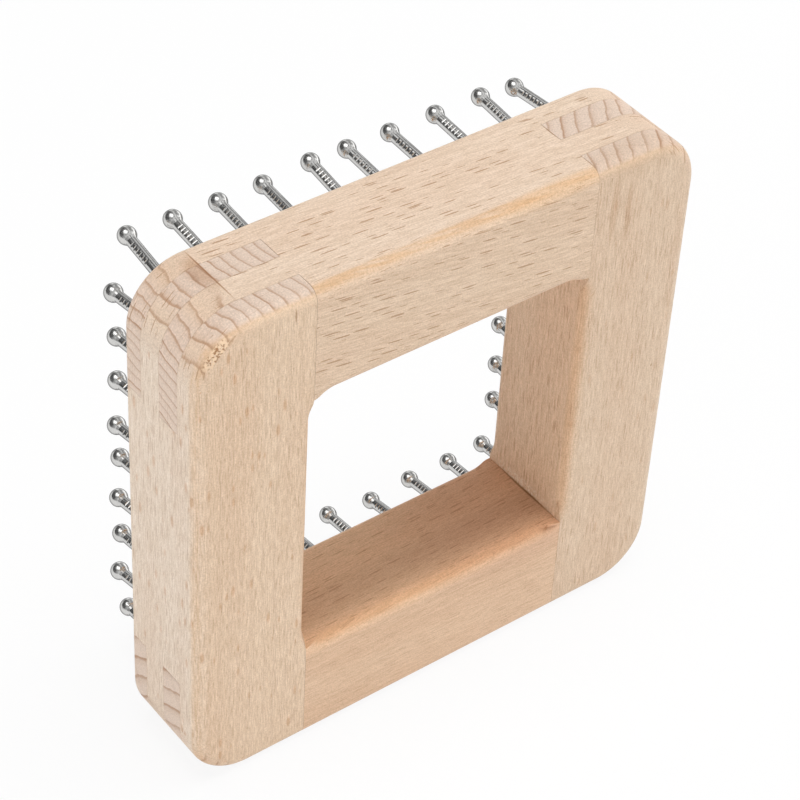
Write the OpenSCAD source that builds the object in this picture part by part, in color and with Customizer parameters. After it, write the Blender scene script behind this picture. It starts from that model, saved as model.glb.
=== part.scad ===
// Knitting board: a square hand frame of four finger-jointed beech bars with a ring of ball-headed pegs.
// It stands on its bottom edge. The smooth front face looks to -Y and the pegs point to +Y.
// The origin is at the middle of the bottom edge, halfway through the wood.
// Lengths are in millimetres and angles in degrees.

/* [Board] */
// Width of the board, left to right
board_w = 100; // [90:1:160]
// Height of the board
board_h = 100; // [90:1:160]
// Thickness of the wood, front to back
board_t = 20.6; // [16:0.2:30]
// Width of the two upright bars
stile_w = 22.1; // [18:0.1:28]
// Width of the two cross bars
rail_w = 21.9; // [18:0.1:28]
// Radius of the four outer corners
corner_r = 10.7; // [5:0.1:16]
// Rounding of the outer edge round the front face
front_round = 2.4; // [0.5:0.1:4]
// Rounding of the outer edge round the back face
back_round = 1.7; // [0.5:0.1:4]

/* [Window] */
// Rounding of the window's edge on the front face
window_front_round = 2.2; // [1:0.1:4]
// Rounding of the window's edge on the back face
window_back_round = 1.5; // [1:0.1:4]
// Radius of the guide bearing that keeps this rounding out of the inside corners
bearing_r = 4.5; // [2:0.1:8]

/* [Finger joints] */
// Finger layers through the thickness, with the stiles in the front layer and the rails in the next
finger_layers = 4; // [2:1:6]
// Glue line between two bars
glue_gap = 0.05; // [0.03:0.01:0.2]

/* [Peg ring] */
// Pegs along each rail, corner pegs included
row_pegs = 10; // [6:1:12]
// Pegs along each stile, between the corner pegs
column_pegs = 8; // [4:1:10]
// Distance of the peg line from the outer edge, at the back face
peg_inset = 9.8; // [8:0.1:12]
// Distance of a row's two corner pegs from the outer edge of the stiles
corner_inset = 10.6; // [9:0.1:13]
// Outward tilt of the pegs
peg_splay = 6.5; // [0:0.5:10]
// Unit of the distances that hand-driven pegs stray along their side
peg_stray = 1; // [0:0.1:1.2]

/* [Pegs] */
// Height of the ball's centre above the back face
peg_reach = 15.5; // [12:0.5:25]
// Depth of the peg's tip in the wood
peg_sunk = 13; // [8:0.5:14]
// Diameter of the ball head
head_d = 3.3; // [2.8:0.1:4]
// Diameter of the shank
shank_d = 2.05; // [1.5:0.05:2.3]
// Length of the collar that runs from the ball into the shank
neck_len = 0.45; // [0.2:0.05:1.2]
// Diameter of that collar where it leaves the ball
neck_d = 2.5; // [2.35:0.05:2.7]
// Length of the point
point_len = 2.6; // [1:0.1:5]
// Clearance between the peg and its hole, on the radius
hole_clear = 0.05; // [0.02:0.01:0.1]

/* [Grip marks] */
// Marks that the heading tool left across each of two opposite sides of a shank
grip_count = 6; // [1:1:9]
// Distance from one mark to the next
grip_pitch = 0.85; // [0.6:0.05:1]
// Distance of the first mark below the ball's centre
grip_start = 2.8; // [2.2:0.1:4]
// Depth of a mark
grip_depth = 0.14; // [0.05:0.01:0.2]
// Radius of the tool's ridge that presses a mark
grip_r = 0.3; // [0.25:0.05:0.4]
// Turn of the marked sides from left and right, the same for the whole ring
grip_facing = 55; // [0:5:90]
// Turn that hand-set pegs differ by from it, one way, not at all and the other way
grip_turn = 10; // [0:1:45]

/* [Hidden] */
$fn = 96;
// How far a cutter reaches past the face that it cuts
past = 1;
front_y = -board_t / 2;
back_y = board_t / 2;
finger_t = board_t / finger_layers;
shank_r = shank_d / 2;

// The four sides in ring order, counter-clockwise as seen from the front
SIDES = ["right", "top", "left", "bottom"];

// Hand-driven pegs stray a little from even spacing and from the common tilt.
// One line per side, its pegs in ring order, with zero for a peg that is not listed.
// Distance along the side from the even place, in units of peg_stray
STRAY = [
    [-0.3, -0.4, 0.3, 0, 0.4, -0.2, 0.3, 0],
    [-2.3, -1.4, -0.8, -0.4, 0, -0.5, 0, 0, 0, 0.3],
    [-0.5, 0, 0.4, 1.2, -0.1, 0, -0.2, -0.4],
    [-0.8, 0.3, -0.2, 0.4, -0.8, -1.2, -0.4, 0.2, -0.3, -0.2]
];
// Lean along the side
LEAN = [
    [0, 0, 0, 1, -1, 0.5, 0, -1],
    [9, 0.5, 2, 3.5, 2.5, -0.5, 0, 0, 0, -1.5],
    [0, 0, 0, 0, 0, 0, 0, 0],
    [-2, 1, 0, -1, 0, -1, 0, -1, 2.5, 0]
];
// Outward tilt beyond the common one
FLARE = [
    [-3, -3, -3, -1, 0, 1, -1, 0],
    [-3, -0.5, 0, 0, 0.5, 1.5, -1.5, -1.5, -0.5, 1],
    [0.5, -1, -0.5, 1, -1, 1, -0.5, 2],
    [-3.5, 0, 1, -1, 0.5, -1.5, 3.5, 1, 1.5, 0]
];
// Most that a peg reaches to one side of its even place: by its stray, its lean in the wood and its shank
max_reach = peg_stray * largest(STRAY) + peg_sunk * tan(largest(LEAN)) + shank_d;
// Distance below the ball's centre at which the collar leaves the ball
neck_top = sqrt(head_d * head_d - neck_d * neck_d) / 2;

// Side facts: stiles are the even sides and rails the odd ones
function is_stile(side) = side % 2 == 0;
function side_reach(side) = (is_stile(side) ? board_w : board_h) / 2;
function side_run(side) = is_stile(side) ? board_h : board_w;
function bar_w(side) = is_stile(side) ? stile_w : rail_w;

// Peg facts
function peg_count(side) = is_stile(side) ? column_pegs : row_pegs;
function peg_name(side, i) = str("peg_", SIDES[side], i < 9 ? "_0" : "_", i + 1);
function listed(table, side, i) = i < len(table[side]) ? table[side][i] : 0;
function largest(table) = max([for (line = table, value = line) abs(value)]);
function row_pitch() = (board_w - 2 * corner_inset) / (row_pegs - 1);
function column_pitch() = (board_h - 2 * peg_inset) / (column_pegs + 1);
function even_place(side, i) = is_stile(side)
    ? peg_inset - board_h / 2 + (i + 1) * column_pitch()
    : corner_inset - board_w / 2 + i * row_pitch();
// How far out towards one side of the board a peg of any side stands
function peg_reaches(to_side, side, i) =
    [side_reach(side), -even_place(side, i), -side_reach(side), even_place(side, i)][(side - to_side + 4) % 4];

// Puts a child on one side of the board: +X outwards, +Y to the back and +Z along the side
module on_side(side) {
    translate([0, 0, board_h / 2])
        rotate([0, -90 * side, 0])
            children();
}

// Section of the board's rim, from the axis of the corner rounding out to the edge, with a lap inwards
module rim_section(lap) {
    translate([-lap, front_y])
        square([lap + corner_r - front_round, board_t / 2]);
    translate([-lap, 0])
        square([lap + corner_r - back_round, board_t / 2]);
    translate([-lap, front_y + front_round])
        square([lap + corner_r, board_t - front_round - back_round]);
    translate([corner_r - front_round, front_y + front_round])
        circle(front_round);
    translate([corner_r - back_round, back_y - back_round])
        circle(back_round);
}

// The whole board before it is parted into bars, without its window
module blank() {
    translate([corner_r - board_w / 2, front_y, corner_r])
        cube([board_w - 2 * corner_r, board_t, board_h - 2 * corner_r]);
    for (side = [0 : 3])
        on_side(side)
            translate([side_reach(side) - corner_r, 0, 0]) {
                straight = side_run(side) - 2 * corner_r;
                linear_extrude(straight, center = true)
                    rim_section(past);
                translate([0, 0, -straight / 2])
                    rotate([-90, 0, 0])
                        rotate_extrude()
                            rim_section(0);
            }
}

// A length of one bar between two depths, centred along its side
module bar_block(side, y0, y1, length) {
    translate([side_reach(side) - bar_w(side), y0, -length / 2])
        cube([bar_w(side) + past, y1 - y0, length]);
}

// Square stock of one bar: its middle stretch, and the fingers that run through the corners
module bar_stock(side) {
    on_side(side) {
        bar_block(side, front_y - past, back_y + past, side_run(side) - 2 * (bar_w(side + 1) + glue_gap));
        for (layer = [side % 2 : 2 : finger_layers - 1]) {
            y0 = layer == 0 ? front_y - past : front_y + layer * finger_t + glue_gap / 2;
            y1 = layer == finger_layers - 1 ? back_y + past : front_y + (layer + 1) * finger_t - glue_gap / 2;
            bar_block(side, y0, y1, side_run(side) + 2 * past);
        }
    }
}

// What a rounding bit takes off an edge at the origin, with +X into the wood and +Y below the face
module rounding_cut(r) {
    difference() {
        translate([-past, -past])
            square(r + past);
        translate([r, r])
            circle(r);
    }
}

// The rounding of the window's edge on the front face, turned on the bearing at the inside corners
module window_rounding(r) {
    for (side = [0 : 3])
        on_side(side)
            translate([side_reach(side) - bar_w(side), front_y, 0]) {
                straight = side_run(side) - 2 * (bar_w(side + 1) + bearing_r);
                linear_extrude(straight, center = true)
                    rounding_cut(r);
                translate([-bearing_r, 0, -straight / 2])
                    rotate([-90, 0, 0])
                        rotate_extrude()
                            translate([bearing_r, 0])
                                rounding_cut(r);
            }
}

// Puts a child at a peg's place in the back face, with +Z along the peg towards its head
module at_peg(side, i) {
    on_side(side)
        translate([side_reach(side) - peg_inset, back_y, even_place(side, i) + peg_stray * listed(STRAY, side, i)])
            rotate([listed(LEAN, side, i), 0, -peg_splay - listed(FLARE, side, i)])
                rotate([-90, 0, 0])
                    children();
}

// Half section of a pointed wire from its tip up to a height
module wire_section(r, tip, top) {
    polygon([[0, tip], [r, tip + point_len], [r, top], [0, top]]);
}

// Half section of a peg: point, shank, collar and ball
module peg_section() {
    wire_section(shank_r, -peg_sunk, peg_reach);
    polygon([
        [0, peg_reach - neck_top - neck_len],
        [shank_r, peg_reach - neck_top - neck_len],
        [neck_d / 2, peg_reach - neck_top],
        [0, peg_reach]
    ]);
    intersection() {
        translate([0, peg_reach])
            circle(d = head_d);
        translate([0, peg_reach - head_d])
            square(2 * head_d);
    }
}

// Rounded grooves across two opposite sides of a shank
module grip_marks() {
    for (half = [0, 180], n = [0 : grip_count - 1])
        rotate([0, 0, half])
            translate([shank_r - grip_depth + grip_r, 0, peg_reach - grip_start - n * grip_pitch])
                rotate([90, 0, 0])
                    cylinder(r = grip_r, h = 2 * shank_d, center = true);
}

module peg(side, i) {
    color("silver")
        at_peg(side, i)
            rotate([0, 0, grip_facing + 90 * side + grip_turn * (i % 3 - 1)])
                difference() {
                    rotate_extrude()
                        peg_section();
                    grip_marks();
                }
}

// The holes of the pegs that enter one bar: those of its own side and of its neighbours' ends
module peg_holes(bar_side) {
    inner_edge = side_reach(bar_side) - bar_w(bar_side);
    for (side = [0 : 3], i = [0 : peg_count(side) - 1])
        if (peg_reaches(bar_side, side, i) > inner_edge - max_reach)
            at_peg(side, i)
                rotate_extrude()
                    wire_section(shank_r + hole_clear, -peg_sunk - hole_clear, past);
}

// One finished bar
module bar(side) {
    difference() {
        intersection() {
            blank();
            bar_stock(side);
        }
        window_rounding(window_front_round);
        mirror([0, 1, 0])
            window_rounding(window_back_round);
        peg_holes(side);
    }
}

module right_stile() {
    color("burlywood")
        bar(0);
}

module top_rail() {
    color("tan")
        bar(1);
}

module left_stile() {
    color("burlywood")
        bar(2);
}

module bottom_rail() {
    color("tan")
        bar(3);
}

left_stile();
right_stile();
top_rail();
bottom_rail();
for (side = [0 : 3], i = [0 : peg_count(side) - 1])
    peg(side, i);
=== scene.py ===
import bpy
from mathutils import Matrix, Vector


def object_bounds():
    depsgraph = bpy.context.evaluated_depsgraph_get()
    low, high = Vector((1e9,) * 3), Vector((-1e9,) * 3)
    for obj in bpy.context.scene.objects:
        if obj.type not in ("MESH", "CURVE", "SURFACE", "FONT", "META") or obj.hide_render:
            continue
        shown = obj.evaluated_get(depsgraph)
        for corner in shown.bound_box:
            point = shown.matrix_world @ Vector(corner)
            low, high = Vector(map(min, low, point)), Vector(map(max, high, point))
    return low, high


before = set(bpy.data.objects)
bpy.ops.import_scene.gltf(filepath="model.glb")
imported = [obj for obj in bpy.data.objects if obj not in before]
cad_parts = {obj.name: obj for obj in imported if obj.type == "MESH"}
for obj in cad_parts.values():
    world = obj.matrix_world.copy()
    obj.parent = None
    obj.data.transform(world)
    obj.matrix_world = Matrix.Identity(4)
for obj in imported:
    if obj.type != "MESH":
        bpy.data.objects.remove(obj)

CAD_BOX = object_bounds()
MM_PER_M = 1000.0


def rgb(red, green, blue):
    return (red, green, blue, 1.0)


# Camera of the photograph, in metres and radians
CAMERA_PLACE = (-0.21957, -0.26896, 0.36089)
CAMERA_TURN = (0.8509, -0.0463, -0.6387)
CAMERA_LENS = 123.3
CAMERA_SENSOR = 36.0

# Floor: side in metres, reflectance, and how far the camera sees it as plain white
FLOOR_SIZE = 8.0
FLOOR_ALBEDO = 0.82
FLOOR_GLOW = 0.90
WHITE = rgb(1.0, 1.0, 1.0)

# Sky: light by the height of the direction it comes from, and its factor in front and behind
SKY = [(0.0, 1.5), (0.28, 1.4), (0.36, 0.12), (0.93, 0.12), (0.97, 6.8), (1.0, 6.8)]
SKY_PEAK = 7.0
SKY_FRONT, SKY_BACK = 1.3, 0.7

# What metal mirrors: a sky that darkens to the left, pale fills, a bright spot and blotches over all
METAL_SKY = [(0.0, 1.0), (0.26, 0.95), (0.36, 0.11), (1.0, 0.11)]
METAL_TILT = 0.36
METAL_FRONT = 0.8
METAL_RIGHT, RIGHT_RANGE = 0.60, (0.12, 0.44)
METAL_SPOT, SPOT_RANGE = 1.8, (0.90, 0.95)
SPOT_AIM = (-0.30, 0.05, 0.95)
BLOTCHES = dict(scale=(2.4, 2.4, 2.4), detail=0.0, low=0.42, high=0.52)
BLOTCH_DARK, BLOTCH_PALE = 0.50, 1.25

# Soft boxes: size and aim in metres, then the name, place and power of each
BOX_SIZE = 0.6
BOX_AIM = Vector((0.0, 0.0, CAD_BOX[1].z / 2))
BOXES = [("left", (-0.8, -0.1, 0.25), 1.6), ("right", (0.55, -0.15, 0.75), 2.6)]


class Wiring:
    """Adds and wires the nodes of one material or world."""

    def __init__(self, owner):
        owner.use_nodes = True
        self.tree = owner.node_tree
        self.tree.nodes.clear()

    def node(self, kind, inputs=None, **settings):
        made = self.tree.nodes.new("ShaderNode" + kind)
        for key, value in settings.items():
            setattr(made, key, value)
        for key, value in (inputs or {}).items():
            if isinstance(value, bpy.types.NodeSocket):
                self.tree.links.new(value, made.inputs[key])
            else:
                made.inputs[key].default_value = value
        return made

    def math(self, operation, a, b=0.0):
        return self.node("Math", {0: a, 1: b}, operation=operation).outputs[0]

    def times(self, *factors):
        product = factors[0]
        for factor in factors[1:]:
            product = self.math("MULTIPLY", product, factor)
        return product

    def plus(self, a, b):
        return self.math("ADD", a, b)

    def minus(self, a, b):
        return self.math("SUBTRACT", a, b)

    def absolute(self, value):
        return self.math("ABSOLUTE", value)

    def below_zero(self, value):
        """How far a value lies below 0."""
        return self.math("MAXIMUM", self.times(value, -1.0), 0.0)

    def dot(self, vector, axis):
        return self.node("VectorMath", {0: vector, 1: axis}, operation="DOT_PRODUCT").outputs["Value"]

    def stretch(self, vector, scales):
        return self.node("VectorMath", {0: vector, 1: scales}, operation="MULTIPLY").outputs["Vector"]

    def scale(self, vector, factor):
        return self.stretch(vector, (factor, factor, factor))

    def shift(self, vector, offset):
        return self.node("VectorMath", {0: vector, 1: offset}, operation="ADD").outputs["Vector"]

    def resize(self, vector, value):
        """Scales a vector by a value that differs from point to point."""
        return self.node("VectorMath", {0: vector, "Scale": value}, operation="SCALE").outputs["Vector"]

    def unit(self, vector):
        return self.node("VectorMath", {0: vector}, operation="NORMALIZE").outputs["Vector"]

    def length(self, vector):
        return self.node("VectorMath", {0: vector}, operation="LENGTH").outputs["Value"]

    def squash(self, vector, axis, along, across):
        """Scales a vector by one factor along an axis and by another across it."""
        run = self.times(self.dot(vector, axis), across - along)
        wide = self.scale(vector, across)
        inputs = {0: wide, 1: self.resize(axis, run)}
        return self.node("VectorMath", inputs, operation="SUBTRACT").outputs["Vector"]

    def separate(self, vector):
        return self.node("SeparateXYZ", {0: vector}).outputs

    def combine(self, x, y, z):
        return self.node("CombineXYZ", {0: x, 1: y, 2: z}).outputs[0]

    def step(self, value, low, high):
        """Smooth step from 0 at low to 1 at high."""
        inputs = {"Value": value, "From Min": low, "From Max": high}
        return self.node("MapRange", inputs, interpolation_type="SMOOTHSTEP").outputs["Result"]

    def span(self, value, low, high, start=0.0):
        """Maps start..1 to low..high."""
        inputs = {"Value": value, "From Min": start, "To Min": low, "To Max": high}
        return self.node("MapRange", inputs).outputs["Result"]

    def noise(self, vector, detail):
        return self.node("TexNoise", {"Vector": vector, "Scale": 1.0, "Detail": detail}).outputs["Fac"]

    def patches(self, vector, scale, detail, low, high):
        """Noise that is cut to 0 and 1 with soft edges."""
        return self.step(self.noise(self.stretch(vector, scale), detail), low, high)

    def cells(self, vector, randomness):
        return self.node("TexVoronoi", {"Vector": vector, "Scale": 1.0, "Randomness": randomness}).outputs

    def mix(self, factor, a, b, blend="MIX"):
        made = self.node("Mix", {0: factor, 6: a, 7: b}, data_type="RGBA", blend_type=blend)
        return made.outputs[2]

    def tint(self, factor, colour, tone):
        """Multiplies a colour by a tone, as far as the factor says."""
        return self.mix(factor, colour, self.mix(1.0, colour, tone, "MULTIPLY"))

    def ramp(self, value, stops):
        made = self.node("ValToRGB", {"Fac": value})
        elements = made.color_ramp.elements
        while len(elements) < len(stops):
            elements.new(0.5)
        for element, (place, level) in zip(elements, stops):
            element.position = place
            element.color = rgb(level, level, level)
        return made.outputs["Color"]

    def bump(self, height, strength, distance):
        inputs = {"Strength": strength, "Distance": distance, "Height": height}
        return self.node("Bump", inputs).outputs["Normal"]

    def finish(self, shader, kind="Material"):
        self.node("Output" + kind, {"Surface": shader})


# Places on the board in millimetres: its front face, its top and its centre
FRONT = CAD_BOX[0].y * MM_PER_M
TOP = CAD_BOX[1].z * MM_PER_M
CENTRE = Vector((0.0, 0.0, TOP / 2))
# How far the middle of a bar, and the seam of a stile and a rail, lie from the centre
BAR_OUT = 39.0
SEAM = 27.9
# The floor of the window, and the first and third finger layer from the front
SILL = 21.9
FIRST_LAYER, THIRD_LAYER = -7.7, 2.6

# Each bar: its middle, the way its fibres run, the way its rings face, ring spacing and place in the log,
# its colour where the rings stand on edge and where they lie flat, the strength of its streaks,
# of its flecks round the sides and on the faces, of its spots, and of its burnished edges
BARS = {
    "left_stile": dict(
        middle=(-BAR_OUT, 0.0, CENTRE.z), along=(0.0, 0.0, 1.0), rings=(-0.985, -0.13, 0.0), gap=2.1,
        offset=(31.0, 7.3, 2.9), edge_on=rgb(0.818, 0.641, 0.477), flat_on=rgb(0.810, 0.695, 0.585),
        streak=0.9, flecks=(0.35, 0.25), spots=0.9, burnish=0.7,
    ),
    "right_stile": dict(
        middle=(BAR_OUT, 0.0, CENTRE.z), along=(0.0, 0.0, 1.0), rings=(-0.85, 0.53, 0.0), gap=2.5,
        offset=(-44.0, 18.1, 5.5), edge_on=rgb(0.760, 0.585, 0.428), flat_on=rgb(0.755, 0.620, 0.495),
        streak=0.75, flecks=(0.45, 0.35), spots=0.5, burnish=0.15,
    ),
    "top_rail": dict(
        middle=(0.0, 0.0, CENTRE.z + BAR_OUT), along=(1.0, -0.07, -0.14), rings=(0.0, -0.05, 1.0), gap=2.0,
        offset=(12.0, 3.7, 9.1), edge_on=rgb(0.780, 0.608, 0.455), flat_on=rgb(0.790, 0.640, 0.510),
        streak=0.7, flecks=(0.75, 0.70), spots=0.0, burnish=1.05,
    ),
    "bottom_rail": dict(
        middle=(0.0, 0.0, CENTRE.z - BAR_OUT), along=(1.0, 0.02, -0.05), rings=(0.0, 0.44, 0.90), gap=4.0,
        offset=(71.0, 11.9, 4.3), edge_on=rgb(0.748, 0.534, 0.368), flat_on=rgb(0.825, 0.605, 0.432),
        streak=0.55, flecks=(0.45, 0.25), spots=0.0, burnish=0.35,
    ),
}

# Colours of beech that are laid over the wood, linear
RING_LINE = rgb(0.400, 0.220, 0.120)
FLECK = rgb(0.360, 0.180, 0.075)
END_GRAIN = rgb(0.640, 0.512, 0.420)
TEAR = rgb(0.790, 0.590, 0.390)
GLUE = rgb(0.800, 0.700, 0.580)
# Tones that the wood is multiplied by: tones of beech, and the painted shade of the window faces
ROSE = rgb(0.97, 0.94, 0.92)
FIBRE_SHADE = rgb(0.80, 0.74, 0.67)
END_SHEEN = rgb(1.14, 1.13, 1.12)
SPOT = rgb(0.86, 0.72, 0.61)
BURNISH = rgb(0.90, 0.770, 0.61)
CORNER = rgb(0.975, 0.952, 0.935)
# Painted shade that darkens and browns the faces round the window
WINDOW_PAINTED_SHADE = rgb(0.95, 0.85, 0.76)
FUZZ_DARK = rgb(0.90, 0.89, 0.88)
FUZZ_PALE = rgb(1.08, 1.09, 1.10)
SCORCH = rgb(0.790, 0.680, 0.590)

# Growth rings: distance to the pith and sizes of their bends in millimetres, and darkness across one ring
PITH_DISTANCE = 55.0
BEND_SCALE, BEND_SIZE = (0.03, 0.15, 0.15), 2.2
KINK_SCALE, KINK_SIZE = (0.1, 0.8, 0.8), 0.35
LATE_WOOD = [(0.0, 0.6), (0.06, 0.0), (0.5, 0.05), (0.9, 0.6), (1.0, 1.0)]
LATE_WOOD_LEVELS = (0.03, 0.16)
END_RINGS = [(0.0, 0.95), (0.06, 0.04), (0.50, 0.04), (0.82, 0.30), (0.945, 1.0)]
END_RING_LEVELS = (0.48, 0.95)

# Patterns on a face, scaled per millimetre along and across the fibres, and the levels where they show
RAY_ENDS = dict(along=0.24, across=3.0)
RAY_SPOTS = dict(along=0.26, across=0.85)
COARSE_FIBRES = dict(along=0.12, across=2.6)
FINE_FIBRES = dict(along=0.35, across=6.0)
PORES = dict(along=0.75, across=6.5)
COARSE_SHARE, FINE_SHARE = 0.30, 0.70
FIBRE_RANGE = (0.34, 0.62)
PORE_RANGE, PORE_STRENGTH = (0.60, 0.70), 0.30
# Dashes, one to a cell: the largest half length in cells, and how freely the cells are strewn
DASH_SIZE, DASH_STREWN = 0.48, 0.9
RAY_RIBBONS = (0.24, 0.20, 3.8)

# Patches in the log, scaled per millimetre along the fibres, across the rings and along the rings
BROAD_TONES = dict(scale=(0.012, 0.10, 0.10), detail=2.0, low=0.35, high=0.65)
END_SPECKLE = dict(scale=(1.0, 4.0, 4.0), detail=1.0, low=0.3, high=0.7)
END_RAYS = dict(scale=(0.05, 0.10, 3.4), detail=2.0, low=0.58, high=0.70)
END_RAY_STRENGTH = 0.25
FUZZ = dict(scale=(3.2, 3.2, 3.2), detail=1.0, low=0.25, high=0.75)

# Burnished edges: share of the normal to the front where they start and end, and how uneven they are
EDGE_STARTS, EDGE_ENDS = (0.06, 0.35), (0.96, 0.65)
POLISHED = dict(scale=(0.03, 0.1, 0.1), detail=2.0, low=0.35, high=0.6)
RUBBED = dict(scale=(0.07, 1.5, 1.5), detail=2.0, low=0.32, high=0.62)
LEAST_POLISHED, LEAST_RUBBED = 0.65, 0.45
FLECKS_ON_POLISH = 0.8

# Shares of the normal where end grain, round corners and the painted shade on the faces of the window
# start and are full
END_FACE = (0.55, 0.85)
WINDOW_SHADE_FACING = (0.3, 0.9)
CORNER_CUT, CORNER_TONE = (0.03, 0.25), (0.02, 0.45)
CORNER_THINNING = 1.4
CORNER_RINGS, CORNER_RAYS = 0.95, 0.65

# Surface of the beech
RAY_DEPTH = 0.5
BEECH_BUMP = dict(strength=0.15, distance=0.0001)
BEECH_ROUGHNESS = (0.50, 0.66)

# Scorched start of the rounding at the upper left corner, which begins at a line across the top
SCORCH_LINE, SCORCH_BLUR = -39.3, 0.1
SCORCH_PLACE, SCORCH_REACH = (SCORCH_LINE, 3.5, TOP), (4.0, 6.0, 3.0)
# Torn fibres where the router left the corner of the left stile
TEAR_PLACE, TEAR_REACH = (-47.0, -9.3, 96.5), (4.8, 4.8, 4.8)
TEAR_STARTS, TEAR_ENDS = (0.55, 0.75), (0.995, 0.96)
CRUMB_SCALE, CRUMB_PALE, CRUMB_DARK = 2.6, (0.52, 0.42), (0.56, 0.64)
# Glue that was squeezed out of the lower right seam of the window
GLUE_PLACE, GLUE_REACH = (SEAM, 1.0, 23.0), (0.8, 10.0, 1.5)
GLUE_DROPS = dict(scale=(2.2, 2.2, 2.2), detail=1.0, low=0.50, high=0.60)
GLUE_STRENGTH = 0.5
# Where a mark, a tone, painted shade or light, or another blemish is full, as a share of its reach
FULL_REACH = 0.35

# Single marks: the bar, the middle, the half lengths and the strength of a dark blemish
MARKS = [
    ("left_stile", (-31.8, FRONT, 97.0), (0.25, 0.8, 1.9), 0.7),
    ("right_stile", (45.3, FRONT, 50.9), (0.25, 0.6, 0.5), 0.7),
    ("left_stile", (-49.6, -9.9, 43.5), (0.3, 0.5, 0.7), 0.7),
    ("right_stile", (SEAM, 0.0, SILL), (0.6, 9.5, 0.45), 0.9),
    ("bottom_rail", (SEAM, 0.0, SILL), (0.45, 9.5, 0.6), 0.9),
    ("top_rail", (SEAM, THIRD_LAYER, TOP), (0.3, 3.2, 0.6), 0.9),
    ("top_rail", (SEAM, FIRST_LAYER, TOP), (0.25, 3.2, 0.6), 0.7),
    ("top_rail", (-SEAM, THIRD_LAYER, TOP), (0.2, 3.2, 0.6), 0.5),
    ("top_rail", (-SEAM, FIRST_LAYER, TOP), (0.2, 3.2, 0.6), 0.5),
    ("left_stile", (SCORCH_LINE, 2.5, TOP), (0.22, 9.5, 0.8), 0.9),
    ("top_rail", (SCORCH_LINE, 2.5, TOP), (0.22, 9.5, 0.8), 0.9),
]
# Broad tones and painted light: the bar, the middle, the half lengths and the tone that the wood is
# multiplied by
TONES_AND_PAINTED_LIGHT = [
    # Painted shade on the window floor of the bottom rail, in the corner at the right stile and towards
    # the front, then painted light on its front rounding
    ("bottom_rail", (32.0, 0.0, SILL), (42.0, 40.0, 8.0), rgb(0.91, 0.83, 0.80)),
    ("bottom_rail", (0.0, -3.0, SILL + 1.0), (90.0, 6.0, 2.5), rgb(0.83, 0.81, 0.80)),
    ("bottom_rail", (0.0, -10.0, SILL - 0.3), (90.0, 3.6, 2.6), rgb(1.10, 1.08, 1.05)),
    # The rest darken or warm small patches of the top rail and the right stile
    ("top_rail", (20.0, -9.6, 99.2), (18.0, 2.5, 2.5), rgb(0.99, 0.93, 0.84)),
    ("right_stile", (31.8, FRONT, 91.0), (1.1, 3.0, 10.0), rgb(0.88, 0.81, 0.75)),
    ("right_stile", (35.0, FRONT, 89.0), (0.8, 3.0, 8.0), rgb(0.87, 0.80, 0.74)),
    ("right_stile", (38.0, -8.5, TOP), (16.0, 5.0, 6.0), rgb(0.93, 0.90, 0.86)),
]


def grain_axes(along, ring_normal):
    """Unit vectors along the fibres, across the rings and along the rings."""
    fibre = Vector(along).normalized()
    ring = Vector(ring_normal)
    ring = (ring - ring.dot(fibre) * fibre).normalized()
    return fibre, ring, fibre.cross(ring)


def ring_phase(w, log_place, gap):
    """Place within a growth ring, 0 to 1 outwards, and a random level for each ring."""
    bends = w.times(w.noise(w.stretch(log_place, BEND_SCALE), 2.0), BEND_SIZE)
    kinks = w.times(w.noise(w.stretch(log_place, KINK_SCALE), 1.0), KINK_SIZE)
    _, across, around = w.separate(log_place)
    from_pith = w.plus(across, PITH_DISTANCE)
    radius = w.math("SQRT", w.plus(w.times(from_pith, from_pith), w.times(around, around)))
    turns = w.math("DIVIDE", w.plus(radius, w.plus(bends, kinks)), gap)
    level = w.node("TexWhiteNoise", {"W": w.math("FLOOR", turns)}, noise_dimensions="1D").outputs["Value"]
    return w.math("FRACT", turns), level


class Cut:
    """How one bar is cut from its log: where a point lies, and which way its face looks."""

    def __init__(self, w, middle, along, rings, gap, offset):
        coords = w.node("TexCoord").outputs
        normal = coords["Normal"]
        fibre, ring, tangent = grain_axes(along, rings)
        self.place = w.scale(coords["Object"], MM_PER_M)
        self.shifted = w.shift(self.place, offset)
        from_middle = w.shift(self.place, tuple(-v for v in middle))
        log_place = w.combine(*[w.dot(from_middle, axis) for axis in (fibre, ring, tangent)])
        self.grain = w.shift(log_place, offset)
        self.phase, self.ring_level = ring_phase(w, log_place, gap)

        # On each face the fibres are drawn along the face, as they look after sanding
        rise = w.dot(normal, fibre)
        dip = w.resize(normal, w.times(rise, -1.0))
        self.flow = w.unit(w.shift(dip, fibre))

        # How squarely the face meets the rings, the fibres, the window, the front and a round corner
        facing_ring = w.dot(normal, ring)
        out_x, out_y, out_z = w.separate(normal)
        self.flat_on = w.times(facing_ring, facing_ring)
        self.end_on = w.absolute(rise)
        self.inwards = w.dot(normal, (CENTRE - Vector(middle)).normalized())
        self.frontward = w.times(out_y, -1.0)
        self.face_on = w.absolute(out_y)
        self.slant = w.math("MINIMUM", w.absolute(out_x), w.absolute(out_z))
        self.on_corner = w.step(self.slant, *CORNER_CUT)


def dashes(w, place, rarity, softness=0.06):
    """Spindles scattered one to a cell; the higher the rarity, the fewer cells have one."""
    cells = w.cells(place, DASH_STREWN)
    size = w.span(w.separate(cells["Color"])[0], -rarity, DASH_SIZE)
    return w.step(w.minus(size, cells["Distance"]), 0.0, softness)


def ray_ends(w, cut):
    """Thin dark dashes along the fibres: the ends of the wood rays."""
    return dashes(w, w.squash(cut.shifted, cut.flow, **RAY_ENDS), rarity=0.60)


def ray_spots(w, cut):
    """Short broad spots: rays cut across."""
    return dashes(w, w.squash(cut.shifted, cut.flow, **RAY_SPOTS), rarity=0.62, softness=0.28)


def ray_ribbons(w, cut):
    """Rays as thin ribbons in the log, cut by the rounded corners."""
    return dashes(w, w.stretch(cut.grain, RAY_RIBBONS), rarity=0.45)


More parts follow.
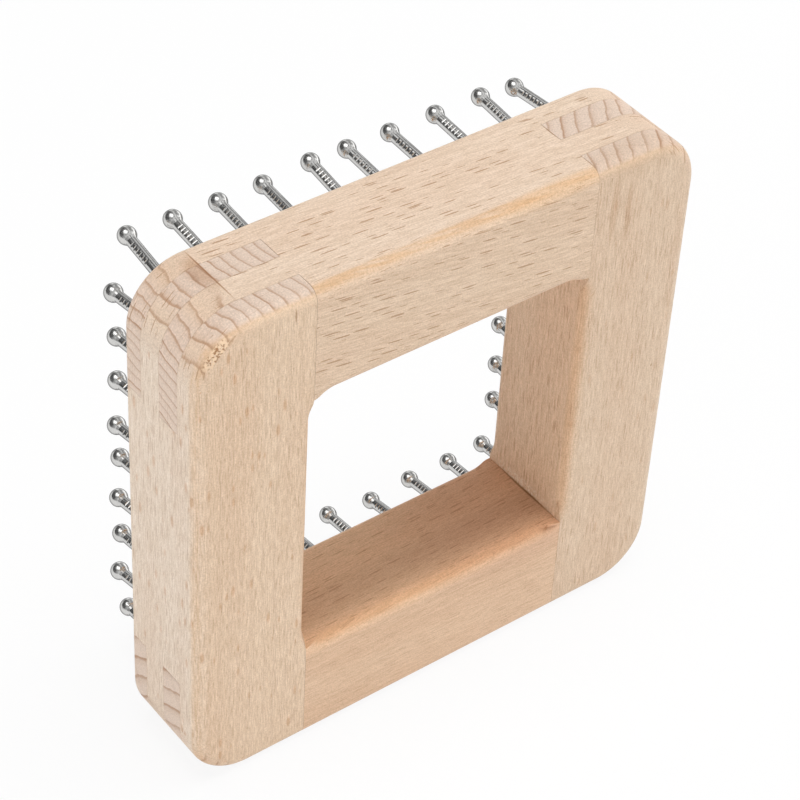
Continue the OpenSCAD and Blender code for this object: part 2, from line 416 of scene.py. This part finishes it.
def fibre_streaks(w, cut):
    """Fine streaks along the fibres, from two sizes of stretched noise."""
    coarse = w.noise(w.squash(cut.shifted, cut.flow, **COARSE_FIBRES), 2.0)
    fine = w.noise(w.squash(cut.shifted, cut.flow, **FINE_FIBRES), 1.0)
    return w.plus(w.times(coarse, COARSE_SHARE), w.times(fine, FINE_SHARE))


def pores(w, cut):
    """Very short dark dashes along the fibres, all over."""
    return w.step(w.noise(w.squash(cut.shifted, cut.flow, **PORES), 1.0), *PORE_RANGE)


def long_grain(w, cut, colour, streaks, contrast):
    """Wood cut along the fibres: broad tones, faint rings and fine streaks."""
    late_wood = w.times(w.ramp(cut.phase, LATE_WOOD), w.span(cut.ring_level, *LATE_WOOD_LEVELS))
    colour = w.tint(w.patches(cut.grain, **BROAD_TONES), colour, ROSE)
    colour = w.mix(w.times(late_wood, w.minus(1.0, cut.flat_on)), colour, RING_LINE)
    return w.tint(w.times(w.step(streaks, *FIBRE_RANGE), contrast), colour, FIBRE_SHADE)


def burnishing(w, cut, strength):
    """Front edges rounded by the router are burnished in patches."""
    edge = w.times(w.step(cut.frontward, *EDGE_STARTS), w.step(cut.frontward, *EDGE_ENDS))
    polished = w.span(w.patches(cut.grain, **POLISHED), LEAST_POLISHED * strength, strength)
    rubbed = w.span(w.patches(cut.grain, **RUBBED), LEAST_RUBBED, 1.0)
    return w.times(edge, polished, rubbed)


def add_flecks(w, cut, wood, rays, polish, flecks, spots):
    """Pores, ray ends and ray spots; burnished edges show fewer ray ends."""
    wood = w.mix(w.times(pores(w, cut), PORE_STRENGTH), wood, FLECK)
    level = w.times(w.span(cut.face_on, *flecks), w.span(polish, 1.0, FLECKS_ON_POLISH))
    wood = w.mix(w.times(rays, level), wood, FLECK)
    return w.tint(w.times(ray_spots(w, cut), spots), wood, SPOT)


def ring_line(w, cut):
    """Dark late wood at the end of each growth ring, thinner on the rounded corners."""
    line = w.times(w.ramp(cut.phase, END_RINGS), w.span(cut.ring_level, *END_RING_LEVELS))
    return w.math("POWER", line, w.span(cut.on_corner, 1.0, CORNER_THINNING))


def end_grain(w, cut, line):
    """Wood cut across the fibres: a pale speckle with rays and rings."""
    colour = w.tint(w.patches(cut.grain, **END_SPECKLE), END_GRAIN, END_SHEEN)
    colour = w.mix(w.times(w.patches(cut.grain, **END_RAYS), END_RAY_STRENGTH), colour, RING_LINE)
    return w.mix(line, colour, RING_LINE)


def round_corners(w, cut, wood, line):
    """The rounded corners cut the rings and rays at a slant, so these show there in any layer."""
    wood = w.tint(w.step(cut.slant, *CORNER_TONE), wood, CORNER)
    wood = w.mix(w.times(line, cut.on_corner, CORNER_RINGS), wood, RING_LINE)
    return w.mix(w.times(ray_ribbons(w, cut), cut.on_corner, CORNER_RAYS), wood, FLECK)


def fuzz(w, cut, wood):
    """Fine unevenness of sanded wood."""
    dark = w.mix(1.0, wood, FUZZ_DARK, "MULTIPLY")
    pale = w.mix(1.0, wood, FUZZ_PALE, "MULTIPLY")
    return w.mix(w.patches(cut.place, **FUZZ), dark, pale)


def nearness(w, cut, middle, reach):
    """1 in the middle of an ellipsoid, falling to 0 at its skin."""
    offset = w.shift(cut.place, tuple(-v for v in middle))
    distance = w.length(w.stretch(offset, tuple(1.0 / v for v in reach)))
    return w.step(distance, 1.0, FULL_REACH)


def add_marks_tones_and_painted_light(w, cut, wood, name):
    """The marks, tones and painted shade and light of one bar."""
    for bar, middle, reach, strength in MARKS:
        if bar == name:
            wood = w.mix(w.times(nearness(w, cut, middle, reach), strength), wood, FLECK)
    for bar, middle, reach, tone in TONES_AND_PAINTED_LIGHT:
        if bar == name:
            wood = w.tint(nearness(w, cut, middle, reach), wood, tone)
    return wood


def add_glue(w, cut, wood):
    seeping = w.times(nearness(w, cut, GLUE_PLACE, GLUE_REACH), GLUE_STRENGTH)
    return w.mix(w.times(seeping, w.patches(cut.place, **GLUE_DROPS)), wood, GLUE)


def add_scorch(w, cut, wood):
    past_line = w.step(w.separate(cut.place)[0], SCORCH_LINE + SCORCH_BLUR, SCORCH_LINE - SCORCH_BLUR)
    return w.tint(w.times(nearness(w, cut, SCORCH_PLACE, SCORCH_REACH), past_line), wood, SCORCH)


def add_tear(w, cut, wood):
    edge = w.times(w.step(cut.face_on, *TEAR_STARTS), w.step(cut.face_on, *TEAR_ENDS))
    torn = w.times(nearness(w, cut, TEAR_PLACE, TEAR_REACH), edge)
    crumbs = w.noise(w.scale(cut.place, CRUMB_SCALE), 1.0)
    wood = w.mix(w.times(torn, w.step(crumbs, *CRUMB_PALE)), wood, TEAR)
    return w.mix(w.times(torn, w.step(crumbs, *CRUMB_DARK)), wood, FLECK)


BLEMISHES = {"right_stile": [add_glue], "top_rail": [add_scorch], "left_stile": [add_scorch, add_tear]}


def beech(name, middle, along, rings, gap, offset, edge_on, flat_on, streak, flecks, spots, burnish):
    material = bpy.data.materials.new("beech_" + name)
    w = Wiring(material)
    cut = Cut(w, middle, along, rings, gap, offset)
    streaks = fibre_streaks(w, cut)
    rays = ray_ends(w, cut)
    polish = burnishing(w, cut, burnish)
    line = ring_line(w, cut)

    side = long_grain(w, cut, w.mix(cut.flat_on, edge_on, flat_on), streaks, streak)
    side = w.tint(polish, side, BURNISH)
    side = add_flecks(w, cut, side, rays, polish, flecks, spots)
    wood = w.mix(w.step(cut.end_on, *END_FACE), side, end_grain(w, cut, line))
    wood = round_corners(w, cut, wood, line)
    # Painted shade: the faces round the window are darkened and browned
    wood = w.tint(w.step(cut.inwards, *WINDOW_SHADE_FACING), wood, WINDOW_PAINTED_SHADE)
    wood = fuzz(w, cut, wood)
    wood = add_marks_tones_and_painted_light(w, cut, wood, name)
    for add_blemish in BLEMISHES.get(name, []):
        wood = add_blemish(w, cut, wood)

    relief = w.minus(streaks, w.times(rays, RAY_DEPTH))
    shader = w.node("BsdfPrincipled", {
        "Base Color": wood,
        "Roughness": w.span(streaks, *BEECH_ROUGHNESS),
        "Normal": w.bump(relief, **BEECH_BUMP),
    })
    w.finish(shader.outputs["BSDF"])
    return material


# Nickel plating: colours of its dull and bright places, and the painted shade at the outline
STEEL_DULL = rgb(0.55, 0.545, 0.535)
STEEL_BRIGHT = rgb(0.74, 0.735, 0.72)
OUTLINE_SHADE = rgb(0.42, 0.42, 0.42)
OUTLINE_RANGE = (0.42, 0.76)
EDGE_TINT = rgb(0.60, 0.60, 0.60)
# Scales of its unevenness per millimetre, and its surface
CLOUD_SCALE, SCRATCH_SCALE = 0.8, 6.0
STEEL_BUMP = dict(strength=0.03, distance=0.00005)
STEEL_ROUGHNESS = (0.14, 0.28)


def nickel():
    material = bpy.data.materials.new("nickel_steel")
    w = Wiring(material)
    place = w.scale(w.node("TexCoord").outputs["Object"], MM_PER_M)
    clouds = w.noise(w.scale(place, CLOUD_SCALE), 4.0)
    scratches = w.noise(w.scale(place, SCRATCH_SCALE), 2.0)
    # Painted shade: the plating is darkened right at the outline, dimming the pale rim it mirrors there
    outline = w.step(w.node("LayerWeight").outputs["Facing"], *OUTLINE_RANGE)
    shader = w.node("BsdfPrincipled", {
        "Base Color": w.tint(outline, w.mix(clouds, STEEL_DULL, STEEL_BRIGHT), OUTLINE_SHADE),
        "Metallic": 1.0,
        "Roughness": w.span(clouds, *STEEL_ROUGHNESS),
        "Specular Tint": EDGE_TINT,
        "Normal": w.bump(scratches, **STEEL_BUMP),
    })
    w.finish(shader.outputs["BSDF"])
    return material


def seen_directly(w):
    """1 for rays that show the background itself: to the camera, or by way of metal or glass."""
    path = w.node("LightPath").outputs
    mirrored = w.math("MAXIMUM", path["Is Glossy Ray"], path["Is Transmission Ray"])
    return w.math("MAXIMUM", path["Is Camera Ray"], mirrored)


def make_floor():
    bpy.ops.mesh.primitive_plane_add(size=FLOOR_SIZE, location=(0.0, 0.0, CAD_BOX[0].z))
    floor = bpy.context.object
    floor.name = "floor"
    material = bpy.data.materials.new("floor_white")
    w = Wiring(material)
    paint = w.node("BsdfDiffuse", {"Color": rgb(FLOOR_ALBEDO, FLOOR_ALBEDO, FLOOR_ALBEDO)}).outputs[0]
    glow = w.node("Emission", {"Color": WHITE, "Strength": 1.0}).outputs[0]
    share = w.times(seen_directly(w), FLOOR_GLOW)
    w.finish(w.node("MixShader", {0: share, 1: paint, 2: glow}).outputs[0])
    floor.data.materials.append(material)


def sky_level(w, height, stops):
    return w.times(w.ramp(height, [(place, light / SKY_PEAK) for place, light in stops]), SKY_PEAK)


def room_light(w, direction):
    """The light that falls on the object."""
    _, back, height = w.separate(direction)
    return w.times(sky_level(w, height, SKY), w.span(back, SKY_FRONT, SKY_BACK, start=-1.0))


def metal_light(w, direction):
    """What metal sees: a dark left side, a pale right and front, and one bright spot."""
    right, back, height = w.separate(direction)
    light = sky_level(w, w.plus(height, w.times(w.below_zero(right), METAL_TILT)), METAL_SKY)
    light = w.plus(light, w.times(w.below_zero(back), METAL_FRONT))
    light = w.plus(light, w.times(w.step(right, *RIGHT_RANGE), METAL_RIGHT))
    light = w.plus(light, w.times(w.step(w.dot(direction, SPOT_AIM), *SPOT_RANGE), METAL_SPOT))
    return w.times(light, w.span(w.patches(direction, **BLOTCHES), BLOTCH_DARK, BLOTCH_PALE))


def make_sky():
    world = bpy.data.worlds.new("studio")
    bpy.context.scene.world = world
    w = Wiring(world)
    direction = w.node("TexCoord").outputs["Generated"]
    path = w.node("LightPath").outputs
    shown = w.mix(path["Is Glossy Ray"], room_light(w, direction), metal_light(w, direction))
    colour = w.mix(path["Is Camera Ray"], shown, WHITE)
    w.finish(w.node("Background", {"Color": colour}).outputs[0], "World")


def make_soft_box(name, place, power):
    light = bpy.data.lights.new("soft_box_" + name, "AREA")
    light.size = BOX_SIZE
    light.energy = power
    lamp = bpy.data.objects.new("soft_box_" + name, light)
    bpy.context.scene.collection.objects.link(lamp)
    lamp.visible_glossy = False
    lamp.location = place
    lamp.rotation_euler = (BOX_AIM - Vector(place)).to_track_quat("-Z", "Y").to_euler()


def make_camera():
    lens = bpy.data.cameras.new("camera")
    lens.sensor_width = CAMERA_SENSOR
    lens.lens = CAMERA_LENS
    camera = bpy.data.objects.new("camera", lens)
    bpy.context.scene.collection.objects.link(camera)
    camera.location = CAMERA_PLACE
    camera.rotation_euler = CAMERA_TURN
    bpy.context.scene.camera = camera


def dress(node, material):
    node.data.materials.clear()
    node.data.materials.append(material)


make_camera()
make_floor()
make_sky()
for box in BOXES:
    make_soft_box(*box)
for bar, facts in BARS.items():
    dress(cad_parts[bar], beech(bar, **facts))
steel = nickel()
for name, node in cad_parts.items():
    if name.startswith("peg_"):
        dress(node, steel)

bpy.context.scene.view_settings.view_transform = "Standard"
